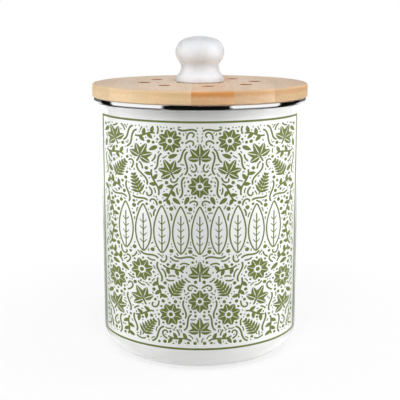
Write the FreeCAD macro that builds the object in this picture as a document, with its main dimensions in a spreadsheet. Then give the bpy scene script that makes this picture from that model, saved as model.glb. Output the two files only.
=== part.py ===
"""Compost caddy: enamelled canister with a steel rim channel, and a vented wooden lid.

The lid is a panel of glued staves over a turned plug. It carries a ceramic knob, a finned
seal and a twist-off filter holder. Millimetres, +Z up, origin at the centre of the base.
"""
import FreeCAD, Part
import math
import os
import Sketcher

# Driving dimensions: alias, value in millimetres, degrees or pieces, and what it measures
DIMENSIONS = [
    ("body_diameter", 152.0, "canister wall, outside"),
    ("body_height", 197.4, "bench to the top of the steel rim"),
    ("body_wall", 1.2, "enamelled sheet"),
    ("base_corner_radius", 19.0, "outer radius between base and wall"),
    ("base_ring_width", 9.0, "flat ring that the canister stands on"),
    ("base_recess_depth", 1.2, "rise of the pressed-up panel inside that ring"),
    ("base_recess_bevel", 2.0, "width of the slope round that panel"),
    ("mouth_flare", 1.4, "how far the wall steps out below the rim"),
    ("mouth_flare_height", 5.95, "height of that step"),
    ("flange_bend", 0.5, "inside bend from wall to flange"),
    ("fold_radius", 0.2, "inside bend from flange to folded lip"),
    ("lip_foot_gap", 0.1, "folded lip above the steel rim's curl"),
    ("rim_height", 4.25, "steel rim's outer band"),
    ("rim_reach", 3.85, "that band beyond the flared mouth"),
    ("rim_corner", 0.6, "outer rounding of the steel rim's upper edge"),
    ("rim_curl", 1.9, "outer rounding of its lower edge"),
    ("rim_gauge", 0.5, "sheet of the steel rim"),
    ("rim_gap", 0.1, "enamel to steel rim"),
    ("lid_overhang", 1.25, "lid edge beyond the steel rim"),
    ("lid_thickness", 10.1, "stave panel"),
    ("lid_upper_edge", 2.2, "rounding of the panel's upper edge"),
    ("lid_lower_edge", 0.8, "rounding of the panel's lower edge"),
    ("stave_count", 6, "staves in the panel"),
    ("stave_width", 29.5, "one stave between two seams"),
    ("stave_seam_offset", -6.0, "seam left of the centre"),
    ("plug_depth", 14.0, "plug below the panel"),
    ("plug_gap", 2.8, "plug to canister wall"),
    ("plug_chamfer", 1.0, "lower edge of the plug"),
    ("plug_shoulder", 2.0, "wood below the seal groove"),
    ("seal_height", 3.8, "silicone ring"),
    ("seal_groove_depth", 2.6, "groove in the plug"),
    ("seal_clearance", 0.2, "ring to groove"),
    ("seal_gap", 0.3, "fin tips to canister wall"),
    ("fin_thickness", 0.8, "one fin"),
    ("fin_inset", 0.6, "fin to the ring's end"),
    ("vent_count", 8, "vent holes"),
    ("vent_diameter", 9.6, "one vent"),
    ("vent_start_angle", 7.5, "first vent from +X"),
    ("vent_circle_diameter", 85.8, "circle that the vents lie on"),
    ("knob_diameter", 37.2, "belly of the knob"),
    ("knob_crown_height", 12.1, "belly to the top"),
    ("knob_crown_radius", 34.8, "curve of the top"),
    ("knob_belly_radius", 11.5, "curve below the belly"),
    ("knob_stem_height", 11.45, "neck to belly"),
    ("knob_neck_diameter", 28.7, "narrowest place"),
    ("knob_foot_height", 11.4, "lid to neck"),
    ("knob_foot_diameter", 36.5, "flared foot"),
    ("knob_foot_rise", 2.5, "height of the foot's widest place"),
    ("knob_foot_upper_edge", 4.3, "upper rounding of the foot"),
    ("knob_foot_lower_edge", 1.4, "lower rounding of the foot"),
    ("insert_diameter", 8.0, "threaded brass insert"),
    ("insert_length", 13.0, "threaded brass insert"),
    ("glue_gap", 0.05, "insert to knob"),
    ("insert_drill_point", 0.6, "knob hole beyond the insert"),
    ("knob_screw_diameter", 4.0, "shank"),
    ("knob_screw_reach", 10.5, "shank inside the insert"),
    ("knob_screw_head_diameter", 8.0, "pan head"),
    ("knob_screw_head_height", 2.6, "pan head"),
    ("thread_gap", 0.05, "screw shank to its threaded hole"),
    ("screw_hole_gap", 0.3, "screw shank to a clearance hole"),
    ("washer_diameter", 14.0, "under the knob screw's head"),
    ("washer_thickness", 1.0, "under the knob screw's head"),
    ("counterbore_gap", 1.0, "washer to counterbore wall"),
    ("counterbore_depth", 6.0, "in the plug's underside"),
    ("holder_inset", 3.6, "holder flange inside the plug's edge"),
    ("holder_flange_width", 14.0, "flange outside the dish"),
    ("holder_flange_thickness", 1.8, "flange"),
    ("holder_wall", 1.6, "dish"),
    ("holder_corner", 0.8, "inner rounding of the dish"),
    ("holder_gap", 0.1, "flange to plug"),
    ("plenum_height", 3.0, "air space over the filter"),
    ("pad_thickness", 8.0, "charcoal filter"),
    ("pad_gap", 0.4, "filter to dish wall"),
    ("pad_edge", 1.6, "rounding of the filter's edges"),
    ("grille_hole_diameter", 6.0, "one hole in the dish's floor"),
    ("grille_rings", 4, "rings of holes"),
    ("grille_margin", 6.5, "outer ring of holes to dish wall"),
    ("keyhole_travel", 16.0, "turn that frees the holder"),
    ("keyhole_start_angle", 30.0, "first holder screw from +X"),
    ("keyhole_count", 3, "holder screws"),
    ("holder_screw_diameter", 3.6, "shank"),
    ("holder_screw_length", 10.0, "shank in the plug"),
    ("holder_screw_head_diameter", 7.5, "head"),
    ("holder_screw_head_height", 2.4, "head"),
    ("holder_screw_gap", 0.15, "head to flange"),
    ("slot_gap", 0.3, "shank to slot"),
    ("keyhole_gap", 0.4, "head to keyhole"),
    ("drive_slot_width", 1.2, "driver slot"),
    ("drive_slot_depth", 1.2, "driver slot"),
    ("head_edge", 0.8, "rounding of a screw head"),
    ("bore_overrun", 0.5, "pilot hole beyond the screw"),
]

# Derived sizes, as expressions on the sheet
BODY_R = "(dims.body_diameter / 2)"
WALL_R = f"({BODY_R} - dims.body_wall)"
MOUTH_OUT_R = f"({BODY_R} + dims.mouth_flare)"
MOUTH_IN_R = f"({WALL_R} + dims.mouth_flare)"
BEND_R = f"({MOUTH_OUT_R} + dims.flange_bend)"
RIM_R = f"({MOUTH_OUT_R} + dims.rim_reach)"
RIM_IN_R = f"({RIM_R} - dims.rim_gauge)"
RIM_FOOT_Z = "(dims.body_height - dims.rim_height)"
FLARE_Z = f"({RIM_FOOT_Z} - dims.mouth_flare_height)"
FLARE_MID_Z = f"({FLARE_Z} + dims.mouth_flare_height / 2)"
FLARE_ARC = "((dims.mouth_flare_height^2 + dims.mouth_flare^2) / (4 * dims.mouth_flare))"

LID_R = f"({RIM_R} + dims.lid_overhang)"
LID_TOP = "(dims.body_height + dims.lid_thickness)"
PLUG_R = f"({WALL_R} - dims.plug_gap)"
PLUG_FOOT = "(dims.body_height - dims.plug_depth)"
GROOVE_R = f"({PLUG_R} - dims.seal_groove_depth)"
GROOVE_FOOT = f"({PLUG_FOOT} + dims.plug_shoulder)"
GROOVE_TOP = f"({GROOVE_FOOT} + dims.seal_height + 2 * dims.seal_clearance)"

HOLDER_R = f"({PLUG_R} - dims.holder_inset)"
DISH_OUT_R = f"({HOLDER_R} - dims.holder_flange_width)"
DISH_IN_R = f"({DISH_OUT_R} - dims.holder_wall)"
PAD_R = f"({DISH_IN_R} - dims.pad_gap)"
HOLDER_TOP = f"({PLUG_FOOT} - dims.holder_gap)"
HOLDER_SEAT = f"({HOLDER_TOP} - dims.holder_flange_thickness)"
PAD_TOP = f"({PLUG_FOOT} - dims.plenum_height)"
PAD_FOOT = f"({PAD_TOP} - dims.pad_thickness)"
DISH_FOOT = f"({PAD_FOOT} - dims.holder_wall)"
KEYHOLE_R = f"(({DISH_OUT_R} + {HOLDER_R}) / 2)"
VENT_R = "(dims.vent_circle_diameter / 2)"

CEILING = f"({PLUG_FOOT} + dims.counterbore_depth)"
COUNTERBORE_R = "(dims.washer_diameter / 2 + dims.counterbore_gap)"
SCREW_HOLE = "(dims.knob_screw_diameter + 2 * dims.screw_hole_gap)"
INSERT_BORE = "(dims.knob_screw_diameter / 2 + dims.thread_gap)"
KNOB_HOLE_R = "(dims.insert_diameter / 2 + dims.glue_gap)"
KNOB_HOLE_DEPTH = "(dims.insert_length + dims.insert_drill_point)"

doc = FreeCAD.newDocument("compost_caddy")
sheet = doc.addObject("Spreadsheet::Sheet", "dims")
for row, (alias, size, meaning) in enumerate(DIMENSIONS, start=1):
    sheet.set(f"A{row}", meaning)
    sheet.set(f"B{row}", str(size))
    sheet.setAlias(f"B{row}", alias)
doc.recompute()


def value(expression):
    """The number that an expression on the sheet gives."""
    return float(sheet.evalExpression(expression))


def new_body(label):
    body = doc.addObject("PartDesign::Body", label)
    body.Label = label
    return body


def new_sketch(body, name, role="XY_Plane", height=None):
    """A sketch on one of the body's origin planes, lifted along the normal by an expression."""
    sketch = body.newObject("Sketcher::SketchObject", f"{body.Name}_{name}")
    plane = next(feature for feature in body.Origin.OriginFeatures if feature.Role == role)
    sketch.AttachmentSupport = [(plane, "")]
    sketch.MapMode = "FlatFace"
    if height:
        sketch.setExpression("AttachmentOffset.Base.z", height)
    return sketch


def bind(sketch, constraint, expression):
    """Add a dimension to a sketch and tie it to the sheet."""
    index = sketch.addConstraint(constraint)
    sketch.setExpression(f"Constraints[{index}]", expression)


def pin(sketch, geometry, point, across, up):
    """Fix a point of the sketch at two expressions; "0" puts it on an axis."""
    for kind, axis, expression in (("DistanceX", -2, across), ("DistanceY", -1, up)):
        if expression == "0":
            sketch.addConstraint(Sketcher.Constraint("PointOnObject", geometry, point, axis))
            continue
        distance = Sketcher.Constraint(kind, -1, 1, geometry, point, value(expression))
        bind(sketch, distance, expression)


def arc_between(start, end, radius, side):
    """The short arc from start to end with its centre on the left (1) or the right (-1)."""
    chord = end - start
    rise = math.sqrt(max(radius ** 2 - (chord.Length / 2) ** 2, 0.0))
    left = FreeCAD.Vector(-chord.y, chord.x, 0) / chord.Length
    centre = (start + end) / 2 + left * rise * side
    first, last = (start, end) if side > 0 else (end, start)
    angles = [math.atan2(point.y - centre.y, point.x - centre.x) for point in (first, last)]
    if angles[1] < angles[0]:
        angles[1] += 2 * math.pi
    return Part.ArcOfCircle(Part.Circle(centre, FreeCAD.Vector(0, 0, 1), radius), *angles)


def outline(sketch, corners):
    """Close a chain of lines and arcs through corners given as expressions.

    A corner is (across, up), or (across, up, radius, side) where an arc runs to the next one.
    """
    places = [FreeCAD.Vector(value(corner[0]), value(corner[1]), 0) for corner in corners]
    ends = []
    for index, corner in enumerate(corners):
        start, end = places[index], places[(index + 1) % len(places)]
        if len(corner) == 2:
            geometry = sketch.addGeometry(Part.LineSegment(start, end))
            ends.append((geometry, 1, 2))
            continue
        radius, side = corner[2:]
        geometry = sketch.addGeometry(arc_between(start, end, value(radius), side))
        ends.append((geometry, 1, 2) if side > 0 else (geometry, 2, 1))
    for index, corner in enumerate(corners):
        geometry, first, last = ends[index]
        following = ends[(index + 1) % len(ends)]
        sketch.addConstraint(Sketcher.Constraint("Coincident", geometry, last, *following[:2]))
        pin(sketch, geometry, first, corner[0], corner[1])
    for (geometry, _, _), corner in zip(ends, corners):
        if len(corner) > 2:
            bind(sketch, Sketcher.Constraint("Radius", geometry, value(corner[2])), corner[2])


def turned(label, corners):
    """A body of revolution about Z from (radius, height) corners."""
    body = new_body(label)
    profile = new_sketch(body, "profile", "XZ_Plane")
    outline(profile, corners)
    revolution = body.newObject("PartDesign::Revolution", f"{label}_revolution")
    revolution.Profile = profile
    revolution.ReferenceAxis = (profile, ["V_Axis"])
    revolution.Angle = 360
    return body


def drilled(body, name, height, across, up, diameter, depth=None):
    """Cut a round hole downwards from a height, right through or to a depth."""
    sketch = new_sketch(body, name, height=height)
    circle = Part.Circle(
        FreeCAD.Vector(value(across), value(up), 0), FreeCAD.Vector(0, 0, 1), value(diameter) / 2
    )
    geometry = sketch.addGeometry(circle)
    pin(sketch, geometry, 3, across, up)
    bind(sketch, Sketcher.Constraint("Diameter", geometry, value(diameter)), diameter)
    return pocket(body, sketch, depth)


def pocket(body, sketch, depth=None, upwards=False):
    before = body.Shape.Volume if body.Tip else 0.0
    cut = body.newObject("PartDesign::Pocket", f"{sketch.Name}_cut")
    cut.Profile = sketch
    cut.Reversed = upwards
    if depth:
        cut.Type = "Length"
        cut.setExpression("Length", depth)
    else:
        cut.Type = "ThroughAll"
    doc.recompute()
    if not body.Shape.Volume < before:
        raise ValueError(f"{cut.Name} removes nothing")
    return cut


def repeated(body, cuts, count):
    """Turn cuts round Z, evenly spaced over the full circle."""
    pattern = body.newObject("PartDesign::PolarPattern", f"{cuts[-1].Name}_ring")
    pattern.Originals = cuts
    pattern.Axis = (cuts[0].Profile[0], ["N_Axis"])
    pattern.Angle = 360
    pattern.setExpression("Occurrences", count)
    body.Tip = pattern
    doc.recompute()


def on_circle(radius, angle):
    """The two expressions of a place on a circle round Z."""
    return f"({radius} * cos({angle} * 1deg))", f"({radius} * sin({angle} * 1deg))"


def canister():
    """Drawn shell: recessed base, round corner, straight wall, flared mouth and folded lip."""
    floor_r = f"({BODY_R} - dims.base_corner_radius)"
    recess_r = f"({floor_r} - dims.base_ring_width)"
    crest = "(dims.body_height - dims.rim_gauge - dims.rim_gap)"
    under = f"({crest} - dims.body_wall)"
    mouth_bend = "(dims.flange_bend + dims.body_wall)"
    lip_out_r = f"({RIM_IN_R} - dims.rim_gap)"
    lip_in_r = f"({lip_out_r} - dims.body_wall)"
    lip_foot = f"({RIM_FOOT_Z} + dims.rim_curl + dims.lip_foot_gap)"
    fold = "(dims.fold_radius + dims.body_wall)"
    return turned("canister", [
        ("0", "dims.base_recess_depth"),
        (f"({recess_r} - dims.base_recess_bevel)", "dims.base_recess_depth"),
        (recess_r, "0"),
        (floor_r, "0", "dims.base_corner_radius", 1),
        (BODY_R, "dims.base_corner_radius"),
        (BODY_R, FLARE_Z, FLARE_ARC, -1),
        (f"({BODY_R} + dims.mouth_flare / 2)", FLARE_MID_Z, FLARE_ARC, 1),
        (MOUTH_OUT_R, RIM_FOOT_Z),
        (MOUTH_OUT_R, f"({under} - dims.flange_bend)", "dims.flange_bend", -1),
        (BEND_R, under),
        (f"({lip_in_r} - dims.fold_radius)", under, "dims.fold_radius", -1),
        (lip_in_r, f"({under} - dims.fold_radius)"),
        (lip_in_r, lip_foot),
        (lip_out_r, lip_foot),
        (lip_out_r, f"({crest} - {fold})", fold, 1),
        (f"({lip_out_r} - {fold})", crest),
        (BEND_R, crest, mouth_bend, 1),
        (MOUTH_IN_R, f"({crest} - {mouth_bend})"),
        (MOUTH_IN_R, RIM_FOOT_Z, FLARE_ARC, -1),
        (f"({WALL_R} + dims.mouth_flare / 2)", FLARE_MID_Z, FLARE_ARC, 1),
        (WALL_R, FLARE_Z),
        (WALL_R, "dims.base_corner_radius", "(dims.base_corner_radius - dims.body_wall)", -1),
        (floor_r, "dims.body_wall"),
        (recess_r, "dims.body_wall"),
        (f"({recess_r} - dims.base_recess_bevel)", "(dims.base_recess_depth + dims.body_wall)"),
        ("0", "(dims.base_recess_depth + dims.body_wall)"),
    ])


def rim_ring():
    """Steel channel with a curled lower edge, closed over the canister's folded lip."""
    leg_in = "(dims.flange_bend + dims.body_wall + dims.rim_gap)"
    leg_out = f"({leg_in} + dims.rim_gauge)"
    bend_z = f"(dims.body_height - {leg_out})"
    leg_r = f"({MOUTH_IN_R} - dims.rim_gap)"
    foot_r = f"({MOUTH_OUT_R} + dims.rim_gap)"
    corner_r = f"({RIM_R} - dims.rim_corner)"
    corner_in = "(dims.rim_corner - dims.rim_gauge)"
    curl_r = f"({RIM_R} - dims.rim_curl)"
    curl_in = "(dims.rim_curl - dims.rim_gauge)"
    top_in = "(dims.body_height - dims.rim_gauge)"
    foot_in = f"({RIM_FOOT_Z} + dims.rim_gauge)"
    return turned("rim_ring", [
        (f"({leg_r} - dims.rim_gauge)", RIM_FOOT_Z),
        (leg_r, RIM_FOOT_Z),
        (leg_r, bend_z, leg_in, -1),
        (BEND_R, top_in),
        (corner_r, top_in, corner_in, -1),
        (RIM_IN_R, f"({top_in} - {corner_in})"),
        (RIM_IN_R, f"({foot_in} + {curl_in})", curl_in, -1),
        (curl_r, foot_in),
        (foot_r, foot_in),
        (foot_r, RIM_FOOT_Z),
        (curl_r, RIM_FOOT_Z, "dims.rim_curl", 1),
        (RIM_R, f"({RIM_FOOT_Z} + dims.rim_curl)"),
        (RIM_R, "(dims.body_height - dims.rim_corner)", "dims.rim_corner", 1),
        (corner_r, "dims.body_height"),
        (BEND_R, "dims.body_height", leg_out, 1),
        (f"({leg_r} - dims.rim_gauge)", bend_z),
    ])


def vented(body, height):
    """Drill the knob screw's clearance hole and the ring of vents through a lid layer."""
    drilled(body, "screw_hole", height, "0", "0", SCREW_HOLE)
    vent = drilled(body, "vent", height, *on_circle(VENT_R, "dims.vent_start_angle"), "dims.vent_diameter")
    repeated(body, [vent], "dims.vent_count")


def lid_staves():
    """The round panel, turned and drilled as one, then parted at its glue seams."""
    blank = turned("lid_blank", [
        ("0", "dims.body_height"),
        (f"({LID_R} - dims.lid_lower_edge)", "dims.body_height", "dims.lid_lower_edge", 1),
        (LID_R, "(dims.body_height + dims.lid_lower_edge)"),
        (LID_R, f"({LID_TOP} - dims.lid_upper_edge)", "dims.lid_upper_edge", 1),
        (f"({LID_R} - dims.lid_upper_edge)", LID_TOP),
        ("0", LID_TOP),
    ])
    doc.recompute()
    vented(blank, LID_TOP)
    count = int(value("dims.stave_count"))
    steps = range(1 - count // 2, count - count // 2)
    seams = [f"(dims.stave_seam_offset + {step} * dims.stave_width)" for step in steps]
    edges = [f"(-{LID_R})", *seams, LID_R]
    staves = []
    for number, (left, right) in enumerate(zip(edges, edges[1:]), start=1):
        strip = doc.addObject("Part::Box", f"stave_strip_{number}")
        strip.setExpression("Length", f"{right} - {left}")
        strip.setExpression("Width", f"2 * {LID_R}")
        strip.setExpression("Height", "dims.lid_thickness")
        strip.setExpression("Placement.Base.x", left)
        strip.setExpression("Placement.Base.y", f"-{LID_R}")
        strip.setExpression("Placement.Base.z", "dims.body_height")
        stave = doc.addObject("Part::MultiCommon", f"lid_stave_{number}")
        stave.Label = f"lid_stave_{number}"
        stave.Shapes = [blank, strip]
        staves.append(stave)
    return staves


def lid_plug():
    """Turned disc under the panel, with the seal's groove and a counterbore for the knob screw."""
    plug = turned("lid_plug", [
        ("0", PLUG_FOOT),
        (f"({PLUG_R} - dims.plug_chamfer)", PLUG_FOOT),
        (PLUG_R, f"({PLUG_FOOT} + dims.plug_chamfer)"),
        (PLUG_R, GROOVE_FOOT),
        (GROOVE_R, GROOVE_FOOT),
        (GROOVE_R, GROOVE_TOP),
        (PLUG_R, GROOVE_TOP),
        (PLUG_R, "dims.body_height"),
        ("0", "dims.body_height"),
    ])
    doc.recompute()
    vented(plug, "dims.body_height")
    drilled(plug, "counterbore", CEILING, "0", "0", f"(2 * {COUNTERBORE_R})", "dims.counterbore_depth")
    pilot_depth = "(dims.holder_screw_length + dims.bore_overrun)"
    pilot = drilled(
        plug, "pilot", f"({PLUG_FOOT} + {pilot_depth})",
        *on_circle(KEYHOLE_R, "dims.keyhole_start_angle"),
        "(dims.holder_screw_diameter + 2 * dims.thread_gap)", pilot_depth,
    )
    repeated(plug, [pilot], "dims.keyhole_count")
    return plug


def lid_seal():
    """Silicone ring with two fins that wipe the canister wall."""
    inner = f"({GROOVE_R} + dims.seal_clearance)"
    outer = f"({PLUG_R} + dims.seal_clearance)"
    tip = f"({WALL_R} - dims.seal_gap)"
    foot = f"({GROOVE_FOOT} + dims.seal_clearance)"
    top = f"({foot} + dims.seal_height)"
    lower = f"({foot} + dims.fin_inset)"
    upper = f"({top} - dims.fin_inset)"
    return turned("lid_seal", [
        (inner, foot),
        (outer, foot),
        (outer, lower),
        (tip, lower),
        (tip, f"({lower} + dims.fin_thickness)"),
        (outer, f"({lower} + dims.fin_thickness)"),
        (outer, f"({upper} - dims.fin_thickness)"),
        (tip, f"({upper} - dims.fin_thickness)"),
        (tip, upper),
        (outer, upper),
        (outer, top),
        (inner, top),
    ])


def waist(circle, radius, neck):
    """Arc that leaves the vertical at the neck and meets a circle from outside: its radius and that place."""
    across = f"({neck[0]} - {circle[0]})"
    up = f"({neck[1]} - {circle[1]})"
    ease = f"(({across}^2 + {up}^2 - {radius}^2) / (2 * ({radius} - {across})))"
    share = f"({radius} / ({radius} + {ease}))"
    return ease, (f"({circle[0]} + ({across} + {ease}) * {share})", f"({circle[1]} + {up} * {share})")


def knob():
    """Ceramic knob: flat crown, round belly, waist and flared foot, with a blind hole below."""
    seat = LID_TOP
    belly_r, neck_r, foot_r = (f"(dims.knob_{place}diameter / 2)" for place in ("", "neck_", "foot_"))
    neck_z = f"({seat} + dims.knob_foot_height)"
    belly_z = f"({neck_z} + dims.knob_stem_height)"
    foot_z = f"({seat} + dims.knob_foot_rise)"
    apex_z = f"({belly_z} + dims.knob_crown_height)"
    crown = "dims.knob_crown_radius"
    shoulder = (
        f"((2 * {crown} * dims.knob_crown_height - dims.knob_crown_height^2 - {belly_r}^2)"
        f" / (2 * ({crown} - {belly_r})))"
    )
    reach = f"({crown} / ({crown} - {shoulder}))"
    crown_end = (
        f"(({belly_r} - {shoulder}) * {reach})",
        f"({apex_z} - {crown} + ({crown} - dims.knob_crown_height) * {reach})",
    )
    belly = (f"({belly_r} - dims.knob_belly_radius)", belly_z)
    foot = (f"({foot_r} - dims.knob_foot_upper_edge)", foot_z)
    upper_ease, belly_end = waist(belly, "dims.knob_belly_radius", (neck_r, neck_z))
    lower_ease, foot_start = waist(foot, "dims.knob_foot_upper_edge", (neck_r, neck_z))
    hole_top = f"({seat} + {KNOB_HOLE_DEPTH})"
    return turned("knob", [
        ("0", apex_z, crown, -1),
        (*crown_end, shoulder, -1),
        (belly_r, belly_z, "dims.knob_belly_radius", -1),
        (*belly_end, upper_ease, 1),
        (neck_r, neck_z, lower_ease, 1),
        (*foot_start, "dims.knob_foot_upper_edge", -1),
        (foot_r, foot_z),
        (foot_r, f"({seat} + dims.knob_foot_lower_edge)", "dims.knob_foot_lower_edge", -1),
        (f"({foot_r} - dims.knob_foot_lower_edge)", seat),
        (KNOB_HOLE_R, seat),
        (KNOB_HOLE_R, hole_top),
        ("0", hole_top),
    ])


def knob_insert():
    """Threaded brass tube glued into the knob; the thread is left plain."""
    bore, shell = INSERT_BORE, "(dims.insert_diameter / 2)"
    top = f"({LID_TOP} + dims.insert_length)"
    return turned("knob_insert", [(bore, LID_TOP), (shell, LID_TOP), (shell, top), (bore, top)])


def screw(label, seat, tip, shank_diameter, head_diameter, head_height):
    """Round-headed screw on its own axis, head down, with a driver slot in the head."""
    shank_r, head_r = f"({shank_diameter} / 2)", f"({head_diameter} / 2)"
    crown = f"({seat} - {head_height})"
    body = turned(label, [
        ("0", crown),
        (f"({head_r} - dims.head_edge)", crown, "dims.head_edge", 1),
        (head_r, f"({crown} + dims.head_edge)"),
        (head_r, seat),
        (shank_r, seat),
        (shank_r, tip),
        ("0", tip),
    ])
    doc.recompute()
    slot = new_sketch(body, "slot", "XY_Plane", crown)
    length, width = value(head_diameter) / 2, value("dims.drive_slot_width") / 2
    corners = [FreeCAD.Vector(x, y, 0) for x, y in
               ((-length, -width), (length, -width), (length, width), (-length, width))]
    for start, end in zip(corners, corners[1:] + corners[:1]):
        slot.addGeometry(Part.LineSegment(start, end))
    for side in range(4):
        slot.addConstraint(Sketcher.Constraint("Coincident", side, 2, (side + 1) % 4, 1))
        slot.addConstraint(Sketcher.Constraint("Vertical" if side % 2 else "Horizontal", side))
    slot.addConstraint(Sketcher.Constraint("Symmetric", 0, 1, 1, 2, -1, 1))
    bind(slot, Sketcher.Constraint("DistanceX", 0, 1, 0, 2, 2 * length), head_diameter)
    bind(slot, Sketcher.Constraint("DistanceY", 1, 1, 1, 2, 2 * width), "dims.drive_slot_width")
    pocket(body, slot, "dims.drive_slot_depth", upwards=True)
    return body


def knob_screw():
    """Screw from the plug's counterbore up into the knob's insert."""
    return screw(
        "knob_screw", f"({CEILING} - dims.washer_thickness)", f"({LID_TOP} + dims.knob_screw_reach)",
        "dims.knob_screw_diameter", "dims.knob_screw_head_diameter", "dims.knob_screw_head_height",
    )


def knob_washer():
    """Flat washer under the knob screw's head."""
    bore, edge = f"({SCREW_HOLE} / 2)", "(dims.washer_diameter / 2)"
    foot = f"({CEILING} - dims.washer_thickness)"
    return turned("knob_washer", [(bore, foot), (edge, foot), (edge, CEILING), (bore, CEILING)])


def keyhole(body):
    """Arc slot that ends in a hole for the screw's head, cut in the holder's flange."""
    half = "(dims.holder_screw_diameter / 2 + dims.slot_gap)"
    rest = "dims.keyhole_start_angle"
    free = "(dims.keyhole_start_angle + dims.keyhole_travel)"
    inner, outer = f"({KEYHOLE_R} - {half})", f"({KEYHOLE_R} + {half})"
    slot = new_sketch(body, "slot", height=HOLDER_TOP)
    outline(slot, [
        (*on_circle(inner, rest), half, 1),
        (*on_circle(KEYHOLE_R, f"({rest} - {half} / {KEYHOLE_R} * 180 / pi)"), half, 1),
        (*on_circle(outer, rest), outer, 1),
        on_circle(outer, free),
        (*on_circle(inner, free), inner, -1),
    ])
    cut = pocket(body, slot)
    head = "(dims.holder_screw_head_diameter + 2 * dims.keyhole_gap)"
    return [cut, drilled(body, "keyhole", HOLDER_TOP, *on_circle(KEYHOLE_R, free), head)]


def filter_holder():
    """Perforated dish that hangs from three screws by keyhole slots in its flange."""
    outer_corner = "(dims.holder_corner + dims.holder_wall)"
    holder = turned("filter_holder", [
        ("0", DISH_FOOT),
        (f"({DISH_OUT_R} - {outer_corner})", DISH_FOOT, outer_corner, 1),
        (DISH_OUT_R, f"({DISH_FOOT} + {outer_corner})"),
        (DISH_OUT_R, HOLDER_SEAT),
        (HOLDER_R, HOLDER_SEAT),
        (HOLDER_R, HOLDER_TOP),
        (DISH_IN_R, HOLDER_TOP),
        (DISH_IN_R, f"({PAD_FOOT} + dims.holder_corner)", "dims.holder_corner", -1),
        (f"({DISH_IN_R} - dims.holder_corner)", PAD_FOOT),
        ("0", PAD_FOOT),
    ])
    doc.recompute()
    repeated(holder, keyhole(holder), "dims.keyhole_count")
    drilled(holder, "grille_centre", PAD_FOOT, "0", "0", "dims.grille_hole_diameter")
    for ring in range(1, int(value("dims.grille_rings")) + 1):
        radius = f"({ring} * ({DISH_IN_R} - dims.grille_margin) / dims.grille_rings)"
        hole = drilled(holder, f"grille_{ring}", PAD_FOOT, radius, "0", "dims.grille_hole_diameter")
        repeated(holder, [hole], f"{6 * ring}")
    return holder


def filter_pad():
    """Charcoal felt disc that lies in the holder."""
    edge = "dims.pad_edge"
    return turned("filter_pad", [
        ("0", PAD_FOOT),
        (f"({PAD_R} - {edge})", PAD_FOOT, edge, 1),
        (PAD_R, f"({PAD_FOOT} + {edge})"),
        (PAD_R, f"({PAD_TOP} - {edge})", edge, 1),
        (f"({PAD_R} - {edge})", PAD_TOP),
        ("0", PAD_TOP),
    ])


def holder_screws():
    """The three shoulder screws that the filter holder hangs from, as one group."""
    count = int(value("dims.keyhole_count"))
    group = doc.addObject("Part::Compound", "holder_screws")
    group.Label = "holder_screws"
    screws = []
    for number in range(count):
        shank = screw(
            f"holder_screw_{number + 1}", f"({HOLDER_SEAT} - dims.holder_screw_gap)",
            f"({PLUG_FOOT} + dims.holder_screw_length)", "dims.holder_screw_diameter",
            "dims.holder_screw_head_diameter", "dims.holder_screw_head_height",
        )
        angle = f"(dims.keyhole_start_angle + {number} * 360 / dims.keyhole_count)"
        across, up = on_circle(KEYHOLE_R, angle)
        shank.setExpression("Placement.Base.x", across)
        shank.setExpression("Placement.Base.y", up)
        screws.append(shank)
    group.Links = screws
    return group


def checked(part):
    """Refuse a failed feature or a broken shape."""
    failed = [item.Name for item in doc.Objects if {"Invalid", "Error"} & set(item.State)]
    if failed:
        raise ValueError(f"failed features: {failed}")
    if part.Shape.isNull() or not part.Shape.isValid():
        raise ValueError(f"broken shape: {part.Label}")
    return part


PARTS = [
    canister(), rim_ring(), *lid_staves(), lid_plug(), lid_seal(), knob(), knob_insert(), knob_screw(),
    knob_washer(), filter_holder(), filter_pad(), holder_screws(),
]
doc.recompute()
for piece in PARTS:
    checked(piece)
os.makedirs("parts", exist_ok=True)
for piece in PARTS:
    piece.Shape.exportStep(f"parts/{piece.Label}.step")
    print(f"{piece.Label}: {len(piece.Shape.Solids)} solid(s), {piece.Shape.Volume:.1f} mm3")
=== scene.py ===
"""Looks of the compost caddy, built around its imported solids. Metres, +Z up, front towards -Y."""
import math

import bpy
import numpy as np
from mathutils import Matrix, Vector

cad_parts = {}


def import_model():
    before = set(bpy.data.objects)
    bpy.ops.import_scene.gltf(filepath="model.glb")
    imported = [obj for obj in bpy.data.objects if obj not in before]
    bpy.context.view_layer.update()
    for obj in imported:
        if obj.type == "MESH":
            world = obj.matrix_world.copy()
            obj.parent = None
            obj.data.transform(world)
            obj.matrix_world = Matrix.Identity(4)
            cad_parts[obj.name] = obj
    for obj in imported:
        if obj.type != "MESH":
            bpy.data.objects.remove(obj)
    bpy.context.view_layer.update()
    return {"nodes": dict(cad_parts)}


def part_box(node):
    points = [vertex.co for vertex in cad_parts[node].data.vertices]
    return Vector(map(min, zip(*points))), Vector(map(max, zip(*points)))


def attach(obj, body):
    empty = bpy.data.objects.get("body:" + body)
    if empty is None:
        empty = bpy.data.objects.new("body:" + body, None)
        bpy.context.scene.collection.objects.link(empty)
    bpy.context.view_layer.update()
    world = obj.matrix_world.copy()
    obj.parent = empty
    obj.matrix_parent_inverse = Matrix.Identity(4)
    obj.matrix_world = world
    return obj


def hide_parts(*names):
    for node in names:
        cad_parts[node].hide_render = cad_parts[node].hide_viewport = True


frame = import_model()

MM = 0.001
NODES = frame["nodes"]

# Camera, fitted to the photograph's outline
CAMERA_PLACE = (0.0001, -0.7504, 0.2629)
CAMERA_PITCH = math.radians(11.158)
CAMERA_LENS = 87.40
CAMERA_FAR = 50.0
SENSOR_WIDTH = 36.0


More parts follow.
